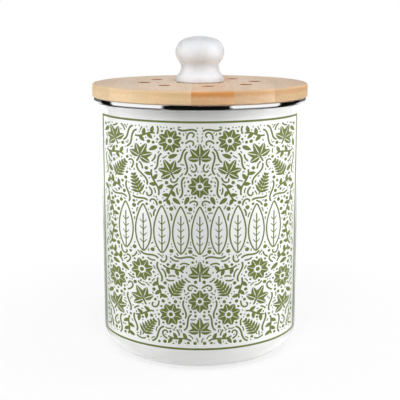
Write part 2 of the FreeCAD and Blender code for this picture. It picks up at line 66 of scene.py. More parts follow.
def camera():
    """Camera at the photograph's viewing angle."""
    data = bpy.data.cameras.new("camera")
    data.lens = CAMERA_LENS
    data.sensor_width = SENSOR_WIDTH
    data.clip_end = CAMERA_FAR
    eye = bpy.data.objects.new("camera", data)
    eye.location = CAMERA_PLACE
    eye.rotation_euler = (math.pi / 2 - CAMERA_PITCH, 0.0, 0.0)
    bpy.context.collection.objects.link(eye)
    bpy.context.scene.camera = eye


def colour(red, green, blue):
    """Linear colour from sRGB values of 0 to 255."""
    def linear(value):
        value /= 255.0
        return value / 12.92 if value <= 0.04045 else ((value + 0.055) / 1.055) ** 2.4
    return tuple(linear(value) for value in (red, green, blue))


def shade(base, factor):
    """A colour made darker or lighter."""
    return tuple(min(part * factor, 1.0) for part in base)


# Finishes, in linear colour
ENAMEL_WHITE = (0.88, 0.88, 0.875)
ENAMEL_LOW = (0.86, 0.86, 0.852)
STEEL = (0.93, 0.93, 0.935)
GLAZE = (0.63, 0.64, 0.66)
INK = (0.150, 0.188, 0.047)
SILICONE = (0.62, 0.62, 0.60)
BRASS = (0.78, 0.57, 0.25)
SCREW_STEEL = (0.62, 0.62, 0.60)
HOLDER_WHITE = (0.80, 0.80, 0.77)
FELT_DARK = (0.012, 0.012, 0.013)
FELT_GREY = (0.035, 0.035, 0.037)
FELT_PALE = (0.10, 0.10, 0.105)
# Brown of the vents: partly bored end grain, partly painted shade of the holes' shadowed insides
VENT_GRAIN_AND_SHADE = (0.46, 0.19, 0.055)
PALE_FACE = colour(217, 193, 169)
PALE_END = (colour(230, 193, 147), colour(236, 203, 159))

# Each stave's face, and the upper and lower layers of its ends
STAVES = [
    (PALE_FACE, (colour(213, 184, 143), colour(218, 190, 150))),
    (PALE_FACE, (colour(222, 190, 147), colour(228, 198, 156))),
    (PALE_FACE, PALE_END),
    (colour(218, 188, 158), (colour(214, 148, 85), colour(225, 183, 139))),
    (colour(218, 191, 164), (colour(206, 162, 116), colour(214, 181, 144))),
    (colour(218, 192, 165), (colour(193, 152, 107), colour(197, 165, 124))),
]
PLUG_SEED = 9

# Places on the lid that the wood's tones follow
LAYER_Z, LAYER_WANDER = 0.2031, 0.0012
LAYER_BLUR = (0.0012, 0.0010)
VENT_COUNT, VENT_START = 8, math.radians(7.5)
VENT_CIRCLE_R, VENT_R = 0.0429, 0.0048
# How far the vents' brown, partly end grain and partly painted shade, spreads past each hole onto the top
VENT_SHADE_SPREAD = (0.0001, 0.0005)

# Colour sockets of a mix node, whose names it also uses for other types
MIX_FIRST, MIX_SECOND, MIX_RESULT = 6, 7, 2


class Shader:
    """A node material, with short calls for the nodes that the finishes share."""

    def __init__(self, name):
        self.material = bpy.data.materials.new(name)
        self.material.use_nodes = True
        self.tree = self.material.node_tree
        self.surface = self.tree.nodes["Principled BSDF"]

    def node(self, kind, **settings):
        """New node with its settings."""
        node = self.tree.nodes.new(kind)
        for name, setting in settings.items():
            setattr(node, name, setting)
        return node

    def feed(self, socket, value):
        """Link a socket, or set a plain value."""
        if isinstance(value, bpy.types.NodeSocket):
            self.tree.links.new(value, socket)
        elif isinstance(value, tuple) and len(value) == 3 and socket.type == "RGBA":
            socket.default_value = (*value, 1.0)
        else:
            socket.default_value = value

    def fill(self, node, values):
        """Link or set a node's sockets by name."""
        for name, value in values.items():
            self.feed(node.inputs[name], value)

    def set(self, **values):
        """Link or set the surface's own sockets by name, with _ for a space."""
        self.fill(self.surface, {name.replace("_", " "): value for name, value in values.items()})

    def place(self, scale=(1.0, 1.0, 1.0), offset=(0.0, 0.0, 0.0)):
        """Position on the object at rest, stretched and shifted."""
        position = self.node("ShaderNodeTexCoord").outputs["Object"]
        mapping = self.node("ShaderNodeMapping")
        self.fill(mapping, {"Vector": position, "Scale": scale, "Location": offset})
        return mapping.outputs["Vector"]

    def facing(self):
        """Surface direction at rest, as its three parts."""
        return self.axes(self.node("ShaderNodeTexCoord").outputs["Normal"])

    def axes(self, place):
        """The three parts of a position."""
        split = self.node("ShaderNodeSeparateXYZ")
        self.feed(split.inputs["Vector"], place)
        return split.outputs["X"], split.outputs["Y"], split.outputs["Z"]

    def length(self, x, y):
        """Length of a flat step."""
        return self.math("SQRT", self.math("ADD", self.math("MULTIPLY", x, x), self.math("MULTIPLY", y, y)))

    def turned_place(self):
        """Position as radius and height only, for marks that run round Z."""
        x, y, z = self.axes(self.place())
        join = self.node("ShaderNodeCombineXYZ")
        self.fill(join, {"X": self.length(x, y), "Z": z})
        return join.outputs["Vector"]

    def vent_reach(self):
        """Distance from the axis of the nearest vent, with the ring of vents folded onto one."""
        x, y, _ = self.axes(self.place())
        half = math.pi / VENT_COUNT
        turn = self.math("SUBTRACT", self.math("ARCTAN2", y, x), VENT_START)
        turn = self.math("WRAP", turn, half, -half)
        radius = self.length(x, y)
        out = self.math("SUBTRACT", self.math("MULTIPLY", radius, self.math("COSINE", turn)), VENT_CIRCLE_R)
        return self.length(out, self.math("MULTIPLY", radius, self.math("SINE", turn)))

    def noise(self, place, scale, detail=3.0, roughness=0.5, distortion=0.0):
        """Cloudy noise, as a factor."""
        noise = self.node("ShaderNodeTexNoise")
        settings = {"Scale": scale, "Detail": detail, "Roughness": roughness, "Distortion": distortion}
        self.fill(noise, {"Vector": place, **settings})
        return noise.outputs["Fac"]

    def cells(self, place, scale, feature="F1"):
        """Distance in a pattern of cells."""
        cells = self.node("ShaderNodeTexVoronoi", feature=feature)
        self.fill(cells, {"Vector": place, "Scale": scale})
        return cells.outputs["Distance"]

    def ramp(self, factor, *stops):
        """Colour ramp from (place, colour) stops."""
        ramp = self.node("ShaderNodeValToRGB")
        elements = ramp.color_ramp.elements
        while len(elements) < len(stops):
            elements.new(1.0)
        for element, (position, tone) in zip(elements, stops):
            element.position = position
            element.color = (*tone, 1.0)
        self.feed(ramp.inputs["Fac"], factor)
        return ramp.outputs["Color"]

    def span(self, factor, low, high, start=0.0, end=1.0):
        """Map a factor from the span of start to end onto the span of low to high."""
        span = self.node("ShaderNodeMapRange")
        limits = {"From Min": start, "From Max": end, "To Min": low, "To Max": high}
        self.fill(span, {"Value": factor, **limits})
        return span.outputs["Result"]

    def mix(self, factor, first, second):
        """Blend of two colours."""
        mix = self.node("ShaderNodeMix", data_type="RGBA", blend_type="MIX")
        self.feed(mix.inputs["Factor"], factor)
        self.feed(mix.inputs[MIX_FIRST], first)
        self.feed(mix.inputs[MIX_SECOND], second)
        return mix.outputs[MIX_RESULT]

    def math(self, operation, *values):
        """One step of arithmetic."""
        node = self.node("ShaderNodeMath", operation=operation)
        for socket, value in zip(node.inputs, values):
            self.feed(socket, value)
        return node.outputs["Value"]

    def bump(self, height, strength, distance):
        """Raise the surface by a height factor."""
        bump = self.node("ShaderNodeBump")
        self.fill(bump, {"Height": height, "Strength": strength, "Distance": distance})
        self.set(Normal=bump.outputs["Normal"])


def enamel():
    """White vitreous enamel: a wet gloss over faint orange peel."""
    shader = Shader("enamel")
    cloud = shader.noise(shader.place(), scale=14.0, detail=4.0)
    peel = shader.noise(shader.place(), scale=420.0, detail=2.0)
    white = shader.ramp(cloud, (0.3, ENAMEL_LOW), (0.7, ENAMEL_WHITE))
    shader.set(Base_Color=white, Roughness=shader.span(cloud, 0.07, 0.12))
    shader.set(Coat_Weight=0.35, Coat_Roughness=0.04)
    shader.bump(peel, strength=0.04, distance=0.0004)
    return shader.material


def polished_steel():
    """Polished steel with fine lines round the ring."""
    shader = Shader("rim_steel")
    lines = shader.noise(shader.turned_place(), scale=2600.0, detail=2.0)
    haze = shader.noise(shader.place(), scale=90.0, detail=3.0)
    tone = shader.ramp(lines, (0.3, shade(STEEL, 0.94)), (0.7, STEEL))
    shader.set(Base_Color=tone, Metallic=1.0, Roughness=shader.span(haze, 0.04, 0.10, 0.3, 0.7))
    shader.bump(lines, strength=0.05, distance=0.00005)
    return shader.material


def wood(name, face, ends, seed):
    """Oiled hardwood with its grain along Y, a deeper top layer at the edge, and brown at the vents that is
    partly bored end grain and partly painted shade of the holes' shadowed insides, spread a little onto the
    top round each hole.
    """
    shader = Shader(name)
    offset = (0.31 * seed, 0.17 * seed, 0.11 + 0.023 * seed)
    upper, lower = ends
    warp = shader.noise(shader.place((1.0, 0.12, 1.0), offset), scale=30.0, detail=3.0)
    rings = shader.node("ShaderNodeTexWave", wave_type="RINGS", rings_direction="Y", wave_profile="SAW")
    heart = shader.place((1.0, 0.06, 1.0), (offset[0] % 0.05, 0.0, offset[2]))
    settings = {"Scale": 62.0, "Distortion": 3.0, "Detail": 2.0, "Detail Scale": 1.4}
    shader.fill(rings, {"Vector": heart, **settings})
    fibres = shader.noise(shader.place((1.0, 0.035, 1.0), offset), scale=1100.0, detail=2.0, roughness=0.6)
    flecks = shader.noise(shader.place((1.0, 0.16, 1.0), offset), scale=1500.0, detail=1.0)
    height = shader.axes(shader.place())[2]
    wander = shader.math("ADD", height, shader.span(warp, -LAYER_WANDER, LAYER_WANDER, 0.3, 0.7))
    layer = shader.span(wander, 0.0, 1.0, LAYER_Z - LAYER_BLUR[0], LAYER_Z + LAYER_BLUR[1])
    level = shader.math("ABSOLUTE", shader.facing()[2])
    tone = shader.mix(shader.span(level, 0.0, 1.0, 0.35, 0.85), shader.mix(layer, lower, upper), face)
    # Each mark's factor, largest share, span of its factor and darkness
    marks = [
        (warp, 0.30, 0.35, 0.75, 0.85),
        (rings.outputs["Fac"], 0.16, 0.0, 1.0, 0.70),
        (fibres, 0.30, 0.45, 0.8, 0.60),
        (flecks, 0.4, 0.62, 0.78, 0.45),
    ]
    for factor, share, start, end, darkness in marks:
        tone = shader.mix(shader.span(factor, 0.0, share, start, end), tone, shade(upper, darkness))
    # Painted shade at the vents: brown for the holes' shadowed insides, partly real end grain, spread a
    # little onto the top round each hole
    vent_grain_and_shade = shader.span(shader.vent_reach(), 1.0, 0.0, VENT_R + VENT_SHADE_SPREAD[0], VENT_R + VENT_SHADE_SPREAD[1])
    tone = shader.mix(vent_grain_and_shade, tone, VENT_GRAIN_AND_SHADE)
    shader.set(Base_Color=tone, Roughness=shader.span(fibres, 0.36, 0.5, 0.3, 0.7), Specular_IOR_Level=0.3)
    shader.bump(shader.math("SUBTRACT", fibres, flecks), strength=0.12, distance=0.00012)
    return shader.material


def glaze():
    """White glazed ceramic, with the body's faint mottling under a clear gloss."""
    shader = Shader("knob_glaze")
    mottle = shader.noise(shader.place(), scale=120.0, detail=4.0)
    specks = shader.cells(shader.place(), scale=700.0)
    white = shader.ramp(mottle, (0.3, shade(GLAZE, 0.965)), (0.7, GLAZE))
    white = shader.mix(shader.span(specks, 0.10, 0.0, 0.05, 0.16), white, shade(GLAZE, 0.80))
    shader.set(Base_Color=white, Roughness=shader.span(mottle, 0.24, 0.32), Specular_IOR_Level=0.35)
    shader.set(Subsurface_Weight=0.8, Subsurface_Scale=0.006, Subsurface_Radius=(1.0, 0.95, 0.9))
    shader.bump(shader.noise(shader.place(), scale=160.0, detail=2.0), strength=0.04, distance=0.0005)
    return shader.material


def ink():
    """Fired green print: slightly uneven cover, much less glossy than the enamel."""
    shader = Shader("print_ink")
    cover = shader.noise(shader.place(), scale=260.0, detail=5.0, roughness=0.65)
    drift = shader.noise(shader.place(), scale=22.0, detail=2.0)
    tone = shader.ramp(cover, (0.32, shade(INK, 0.90)), (0.68, shade(INK, 1.12)))
    tone = shader.mix(shader.span(drift, 0.0, 0.25, 0.4, 0.7), tone, shade(INK, 1.18))
    shader.set(Base_Color=tone, Roughness=shader.span(cover, 0.32, 0.46), Specular_IOR_Level=0.12)
    return shader.material


def metal(name, tone, roughness, scale):
    """Turned metal with tool lines and light tarnish."""
    shader = Shader(name)
    tarnish = shader.noise(shader.place(), scale, detail=4.0)
    lines = shader.noise(shader.place((1.0, 1.0, 6.0)), scale=1800.0, detail=2.0)
    shader.set(Base_Color=shader.ramp(tarnish, (0.3, shade(tone, 0.72)), (0.65, tone)), Metallic=1.0)
    shader.set(Roughness=shader.span(tarnish, roughness * 1.4, roughness * 0.8, 0.3, 0.7))
    shader.bump(lines, strength=0.12, distance=0.00006)
    return shader.material


def moulded(name, tone, roughness, grain, sheen=0.0):
    """Moulded plastic or silicone with a fine spark-eroded grain."""
    shader = Shader(name)
    cloud = shader.noise(shader.place(), scale=40.0, detail=3.0)
    pits = shader.noise(shader.place(), grain, detail=2.0)
    shader.set(Base_Color=shader.ramp(cloud, (0.3, shade(tone, 0.88)), (0.7, tone)))
    shader.set(Roughness=shader.span(pits, roughness * 0.85, roughness * 1.15), Sheen_Weight=sheen)
    shader.bump(pits, strength=0.2, distance=0.00012)
    return shader.material


def felt():
    """Needled charcoal felt: matted fibres with paler ones showing."""
    shader = Shader("filter_felt")
    mat = shader.noise(shader.place(), scale=900.0, detail=5.0, roughness=0.7, distortion=1.5)
    fibres = shader.cells(shader.place((1.0, 1.0, 3.0)), scale=520.0, feature="SMOOTH_F1")
    tone = shader.ramp(mat, (0.35, FELT_DARK), (0.6, FELT_GREY), (0.8, FELT_PALE))
    shader.set(Base_Color=tone, Roughness=shader.span(mat, 0.85, 1.0), Sheen_Weight=0.4, Sheen_Roughness=0.6)
    shader.bump(shader.math("ADD", mat, fibres), strength=0.8, distance=0.0008)
    return shader.material


def dress(node, material):
    """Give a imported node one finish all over."""
    slots = NODES[node].data.materials
    slots.clear()
    slots.append(material)


def finishes():
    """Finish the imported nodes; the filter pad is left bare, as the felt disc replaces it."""
    dress("canister", enamel())
    dress("rim_ring", polished_steel())
    for number, (face, ends) in enumerate(STAVES, start=1):
        dress(f"lid_stave_{number}", wood(f"lid_wood_{number}", face, ends, number))
    dress("lid_plug", wood("plug_wood", PALE_FACE, PALE_END, PLUG_SEED))
    dress("lid_seal", moulded("seal_silicone", SILICONE, roughness=0.42, grain=1400.0, sheen=0.2))
    dress("knob", glaze())
    dress("knob_insert", metal("insert_brass", BRASS, roughness=0.3, scale=300.0))
    screw_steel = metal("screw_steel", SCREW_STEEL, roughness=0.3, scale=260.0)
    for node in ("knob_screw", "knob_washer", "holder_screws"):
        dress(node, screw_steel)
    dress("filter_holder", moulded("holder_plastic", HOLDER_WHITE, roughness=0.45, grain=2200.0))


def mesh_object(name, points, faces, material):
    """Linked object of one mesh with one finish."""
    mesh = bpy.data.meshes.new(name)
    mesh.from_pydata(points, [], faces)
    mesh.materials.append(material)
    item = bpy.data.objects.new(name, mesh)
    bpy.context.collection.objects.link(item)
    return item


# Print on the canister's front, laid out flat as (across, height) in millimetres and stretched at its sides
WALL_R = 76.0
FRAME_SIDE, FRAME_LOW, FRAME_HIGH = 78.0, 18.75, 185.0
FRAME_ARC = 96.9
SIDE_STRETCH = (FRAME_ARC - FRAME_SIDE) / FRAME_SIDE ** 3
FRAME_LINE, FRAME_SIDE_LINE = 1.45, 2.2
FRAME_STEPS, FRAME_SIDE_STEPS = 160, 60
MARGIN = 3.2
FIELD_SIDE, FIELD_LOW, FIELD_HIGH = FRAME_SIDE - MARGIN, FRAME_LOW + MARGIN, FRAME_HIGH - MARGIN
BAND_LOW, BAND_HIGH, BAND_SIDE, BAND_LEAVES = 90.0, 125.0, 61.0, 9
BAND_DOT, BAND_DOT_INSET = 3.0, 2.0
COLUMNS, COLUMN_PITCH = 4, 21.0
MOTIF_ROWS = ((34.0, 55.0, 76.0, 139.5, 161.0), (44.5, 65.5, 150.2, 171.5))
SPRAY_SIZE, ROSETTE_R, FROND_LENGTH = 10.2, 8.6, 16.0
MOTIF_DROPS = (0.0, 0.0, -FROND_LENGTH / 2)
MOTIF_LEAN = 0.5
CELL = 0.4
GAP = 0.75
FILL_KINDS = 12
PRINT_SEED = 11

# Tiles of the print: how far they stand out of the wall and reach into it, and the steps between neighbours
TILE_LIFT, TILE_ROOT = 0.045, 0.03
TILE_STEP, TILE_LEVELS = 0.004, 8


def along(path, spots):
    """Points at given lengths along a path."""
    steps = np.hypot(*np.diff(path, axis=0).T)
    length = np.concatenate([[0.0], np.cumsum(steps)])
    return np.stack([np.interp(spots, length, path[:, axis]) for axis in (0, 1)], axis=1)


def path_length(path):
    """Length of a path."""
    return float(np.hypot(*np.diff(path, axis=0).T).sum())


def normals(path):
    """Unit normals on the left of a path."""
    slope = np.gradient(path, axis=0)
    slope /= np.maximum(np.hypot(*slope.T), 1e-9)[:, None]
    return np.stack([-slope[:, 1], slope[:, 0]], axis=1)


def turned_by(points, angle, place=(0.0, 0.0)):
    """Points turned about the origin and moved."""
    cosine, sine = math.cos(angle), math.sin(angle)
    return points @ np.array([[cosine, sine], [-sine, cosine]]) + np.asarray(place)


def stroke(path, width, step=1.1):
    """Grid of points for a line with round ends."""
    length, half = path_length(path), width / 2
    cap = min(half, length / 2)
    start = cap * np.array([0.0, 0.08, 0.3, 0.62, 1.0])
    count = max(int((length - 2 * cap) / step), 1)
    middle = np.linspace(cap, length - cap, count + 1)[1:-1]
    spots = np.unique(np.round(np.concatenate([start, middle, length - start[::-1]]), 6))
    centre = along(path, spots)
    inset = np.clip(np.minimum(spots, length - spots) / cap, 0.0, 1.0)
    reach = half * np.sqrt(np.clip(1.0 - (1.0 - inset) ** 2, 0.0004, 1.0))
    side = normals(centre) * reach[:, None]
    return np.stack([centre + side, centre - side], axis=1)


def dot(place, diameter):
    """Round spot."""
    reach = np.array([[-diameter / 2, 0.0], [0.0, 0.0], [diameter / 2, 0.0]])
    return stroke(reach + np.asarray(place), diameter)


def spiral(length, first, last, step=0.7):
    """Path from the origin along +arc, whose curvature runs from first to last."""
    spots = np.linspace(0.0, length, max(int(length / step), 6))
    heading = first * spots + (last - first) * spots ** 2 / (2 * length)
    gaps = np.diff(spots)[:, None]
    steps = np.stack([np.cos(heading), np.sin(heading)], axis=1)
    return np.concatenate([[[0.0, 0.0]], np.cumsum((steps[1:] + steps[:-1]) / 2 * gaps, axis=0)])


def half_leaf(length, width, side, rib, teeth):
    """Grid for one half of a leaf that grows along +height, beside its bare midrib."""
    spots = np.linspace(0.02, 0.985, 4 * teeth + 3 if teeth else 13)
    edge = np.sin(math.pi * spots ** 0.78) ** 0.85
    if teeth:
        edge = edge * (1.0 - 0.24 * (spots * teeth % 1.0))
    inner = rib / 2 * (1.0 - 0.6 * spots)
    outer = np.maximum(width / 2 * edge, inner + 0.02)
    reach = inner[:, None] + (outer - inner)[:, None] * np.array([0.0, 0.5, 1.0])
    rise = spots[:, None] * length - 0.12 * length * (reach / (width / 2)) * (0.5 - spots[:, None])
    return np.stack([side * reach, rise], axis=2)


class Artwork:
    """Ink shapes, and a grid of the right half's cells that are too near to one of them."""

    def __init__(self):
        self.shapes = []
        cells = np.array([FIELD_SIDE, FIELD_HIGH - FIELD_LOW]) / CELL
        self.near = np.zeros(cells.astype(int) + 1, bool)
        self.near[:int(GAP / CELL) + 1] = True
        limit = int(math.ceil(GAP / CELL))
        around = np.mgrid[-limit:limit + 1, -limit:limit + 1].reshape(2, -1).T
        self.around = around[np.hypot(*around.T) * CELL <= GAP]

    def cells(self, points):
        """Grid cells that hold points."""
        return np.floor((points - (0.0, FIELD_LOW)) / CELL).astype(int)

    def mark(self, points):
        """Mark the cells round points as too near."""
        cells = (self.cells(points)[:, None, :] + self.around).reshape(-1, 2)
        inside = ((cells >= 0) & (cells < self.near.shape)).all(axis=1)
        self.near[tuple(cells[inside].T)] = True

    def fits(self, points):
        """Whether points lie in the right half of the field, clear of what is there."""
        cells = self.cells(points)
        if (cells < 0).any() or (cells >= self.near.shape).any():
            return False
        return not self.near[tuple(cells.T)].any()

    def add(self, shapes, mirrored=True):
        """Keep shapes, and their mirror images across the centre line."""
        if mirrored:
            shapes = shapes + [shape[:, ::-1] * (-1.0, 1.0) for shape in shapes]
        self.shapes += shapes
        for shape in shapes:
            self.mark(shape.reshape(-1, 2))


def placed(shapes, angle, place):
    """Grids turned and moved to a place."""
    return [turned_by(shape.reshape(-1, 2), angle, place).reshape(shape.shape) for shape in shapes]


def leaf(length, width, rib=0.5, teeth=0):
    """Both halves of a leaf that grows from the origin along +height."""
    return [half_leaf(length, width, side, rib, teeth) for side in (-1, 1)]


def rosette(radius, petals=8):
    """Round flower of separate petals about a heart, with a dot between their tips."""
    shapes = [dot((0.0, 0.0), radius * 0.36)]
    for number in range(petals):
        turn = 2 * math.pi * number / petals
        petal = [half + (0.0, radius * 0.30) for half in leaf(radius * 0.7, radius * 0.56)]
        shapes += placed(petal, turn, (0.0, 0.0))
        shapes += placed([dot((0.0, radius * 1.02), 1.7)], turn + math.pi / petals, (0.0, 0.0))
    return shapes


def spray(size, leaves=5):
    """Fan of toothed leaves on a short stalk, growing along +height."""
    stalk = np.array([[0.0, -0.62 * size], [0.0, -0.3 * size], [0.0, -0.05 * size]])
    shapes = [stroke(stalk, 1.3)]
    for number in range(leaves):
        turn = (number - (leaves - 1) / 2) * 0.80
        length = size * (1.0 - 0.14 * abs(turn))
        blade = [half + (0.0, 0.7) for half in leaf(length, size * 0.52, rib=0.8, teeth=6)]
        shapes += placed(blade, -turn, (0.0, -0.16 * size))
    return shapes


def frond(length, pairs=6, curve=0.03):
    """Fern frond with paired leaflets that grow smaller towards its tip."""
    stem = turned_by(spiral(length, curve * 0.4, curve), math.pi / 2)
    shapes = [stroke(stem, 0.95)]
    spots = np.linspace(0.12, 0.92, pairs) * length
    places, sides = along(stem, spots), normals(along(stem, spots))
    for number, (place, side) in enumerate(zip(places, sides)):
        size = length * (0.44 - 0.28 * number / (pairs - 1))
        heading = math.atan2(side[1], side[0])
        for hand in (-1, 1):
            turn = heading + (0.0 if hand > 0 else math.pi) - math.pi / 2 - hand * 0.6
            shapes += placed(leaf(size, 1.9, rib=0.0), turn, place)
    return shapes


def band_edge(spots):
    """Share of its half width that a band leaf has along its height."""
    return np.sin(math.pi * spots ** 0.85) ** 0.8


def band_leaf(width, height):
    """Upright bare leaf with an inked outline, midrib and side veins."""
    spots = np.linspace(0.0, 1.0, 41)
    reach = width / 2 * band_edge(spots)
    shapes = [stroke(np.stack([side * reach, spots * height], axis=1), 1.05) for side in (-1, 1)]
    shapes.append(stroke(np.array([[0.0, 0.0], [0.0, height * 0.4], [0.0, height * 0.8]]), 0.9))
    vein = turned_by(spiral(width * 0.30, 0.0, 0.25), math.radians(38.0))
    for level in (0.18, 0.32, 0.46, 0.60):
        for side in (-1, 1):
            shapes.append(stroke(vein * (side, 1.0) + (0.0, level * height), 0.62))
    return shapes


def line(length, first, last, width):
    """Curved line about the origin."""
    path = spiral(length, first, last)
    return [stroke(path - path.mean(axis=0), width)]


def tendril(length, bend):
    """S-shaped stem with small leaves on alternate sides."""
    stem = spiral(length, -bend, bend)
    stem = stem - stem.mean(axis=0)
    shapes = [stroke(stem, 1.25)]
    spots = np.array([0.22, 0.42, 0.62, 0.82]) * length
    places, sides = along(stem, spots), normals(along(stem, spots))
    for number, (place, side) in enumerate(zip(places, sides)):
        hand = 1 - 2 * (number % 2)
        turn = math.atan2(hand * side[1], hand * side[0]) - math.pi / 2
        shapes += placed(leaf(5.2, 2.7, rib=0.0), turn - hand * 0.5, place)
    return shapes


def scattered(art, random, tries, make):
    """Throw shapes at free places in the right half, and keep those that fit."""
    kinds = [make(random) for _ in range(FILL_KINDS)]
    for _ in range(tries):
        place = random.uniform((0.0, FIELD_LOW), (FIELD_SIDE, FIELD_HIGH))
        angle = random.uniform(0.0, 2 * math.pi)
        kind = kinds[random.randint(FILL_KINDS)]
        if not art.fits(place[None]):
            continue
        shapes = placed(kind, angle, place)
        if art.fits(np.concatenate([shape.reshape(-1, 2) for shape in shapes])):
            art.add(shapes)


def frame_line():
    """Rectangle round the field."""
    half, side_half = FRAME_LINE / 2, FRAME_SIDE_LINE / 2
    corner = FRAME_SIDE + side_half
    shapes = []
    for height in (FRAME_LOW, FRAME_HIGH):
        level = np.linspace((-corner, height), (corner, height), FRAME_STEPS)
        shapes.append(level[:, None, :] + np.array([[[0.0, half], [0.0, -half]]]))
    for side in (-1, 1):
        across = side * FRAME_SIDE
        upright = np.linspace((across, FRAME_LOW), (across, FRAME_HIGH), FRAME_SIDE_STEPS)
        shapes.append(upright[:, None, :] + np.array([[[-side_half, 0.0], [side_half, 0.0]]]))
    return shapes


def leaf_band(art):
    """Row of bare leaves across the middle, with dots in the corners between them."""
    pitch, tall = 2 * BAND_SIDE / BAND_LEAVES, BAND_HIGH - BAND_LOW
    body = np.mgrid[-0.36:0.37:0.03, 0.04:0.97:0.02].reshape(2, -1).T
    body = body[np.abs(body[:, 0]) < 0.42 * band_edge(body[:, 1])]
    for number in range(BAND_LEAVES // 2 + 1):
        place = (number * pitch, BAND_LOW)
        art.add(placed(band_leaf(pitch * 0.86, tall), 0.0, place), mirrored=number > 0)
        for side in (-1.0, 1.0):
            art.mark((body * (pitch, tall) + place) * (side, 1.0))
        for height in (BAND_LOW + BAND_DOT_INSET, BAND_HIGH - BAND_DOT_INSET):
            art.add([dot(((number + 0.5) * pitch, height), BAND_DOT)])


def motif_rows(art):
    """Rows of flowers, leaf sprays and ferns, dropped by half in every other column."""
    motifs = (spray(SPRAY_SIZE), rosette(ROSETTE_R), frond(FROND_LENGTH))
    for column in range(COLUMNS):
        for row, height in enumerate(MOTIF_ROWS[column % 2]):
            kind = row % 2 if column == 0 else (row + column) % 3
            lean = 0.0 if column == 0 else MOTIF_LEAN * (1 - 2 * ((row + column // 2) % 2))
            place = (column * COLUMN_PITCH, height + MOTIF_DROPS[kind])
            art.add(placed(motifs[kind], -lean, place), mirrored=column > 0)


def artwork():
    """The whole print: frame, leaf band, rows of motifs and the small fill between them."""
    art = Artwork()
    art.add(frame_line(), mirrored=False)
    leaf_band(art)
    motif_rows(art)
    random = np.random.RandomState(PRINT_SEED)
    # Tries for each kind of fill, from large to small
    fills = [
        (2500, lambda r: tendril(r.uniform(15, 21), 0.2)),
        (2500, lambda r: line(r.uniform(12, 19), -0.3, 0.3, 1.3)),
        (2500, lambda r: line(r.uniform(9, 14), 0.03, r.choice((-0.75, 0.75)), 1.2)),
        (3000, lambda r: leaf(r.uniform(5.5, 7.5), 3.0, rib=0.0)),
        (3500, lambda r: line(r.uniform(5, 8), 0.0, r.choice((-0.35, 0.35)), 1.15)),
        (4000, lambda r: [dot((0.0, 0.0), r.uniform(1.9, 2.8))]),
        (5000, lambda r: line(r.uniform(3, 5), 0.0, r.choice((-0.4, 0.4)), 0.85)),
        (6000, lambda r: line(r.uniform(1.6, 2.6), 0.0, 0.0, 0.8)),
        (6000, lambda r: [dot((0.0, 0.0), 1.0)]),
    ]
    for tries, make in fills:
        scattered(art, random, tries, make)
    return art.shapes


def wrapped(shapes, name, body, material):
    """One mesh of closed thin tiles on the wall, each a hair above the next."""
    points, faces, count = [], [], 0
    for number, shape in enumerate(shapes):
        long, wide = shape.shape[:2]
        tile = long * wide
        lift = WALL_R + TILE_LIFT + TILE_STEP * (number % TILE_LEVELS)
        flat = shape.reshape(-1, 2)
        turn = (flat[:, 0] + SIDE_STRETCH * flat[:, 0] ** 3) / WALL_R
        for radius in (lift, WALL_R - TILE_ROOT):
            points.append(np.stack([radius * np.sin(turn), -radius * np.cos(turn), flat[:, 1]], axis=1))
        index = count + np.arange(tile).reshape(long, wide)
        corners = [index[:-1, :-1], index[1:, :-1], index[1:, 1:], index[:-1, 1:]]
        quads = np.stack(corners, axis=-1).reshape(-1, 4)
        loop = np.concatenate([index[:-1, 0], index[-1, :-1], index[:0:-1, -1], index[0, :0:-1]])
        after = np.roll(loop, -1)
        faces += [quads, quads[:, ::-1] + tile, np.stack([loop, loop + tile, after + tile, after], axis=1)]
        count += 2 * tile
    piece = mesh_object(name, np.concatenate(points) * MM, np.concatenate(faces).tolist(), material)
    piece.data.validate()
    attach(piece, body)


# Felt disc, in millimetres: gaps inside its solid, round edge, rows of points and unevenness
PAD_SIDE_GAP, PAD_FACE_GAP = 0.15, 0.1
PAD_EDGE = 2.4
PAD_AROUND, PAD_FACE_ROWS, PAD_EDGE_ROWS = 180, 32, 6
PAD_ROUGHNESS, PAD_SWELL, PAD_WAVE = 0.10, 0.12, 9.0
PAD_FACE_SHIFT, PAD_SIDE_SHIFT = (-0.5, 0.1), (-0.3, 0.1)
PAD_FACE_DEPTH = 0.2
PAD_SEED = 5


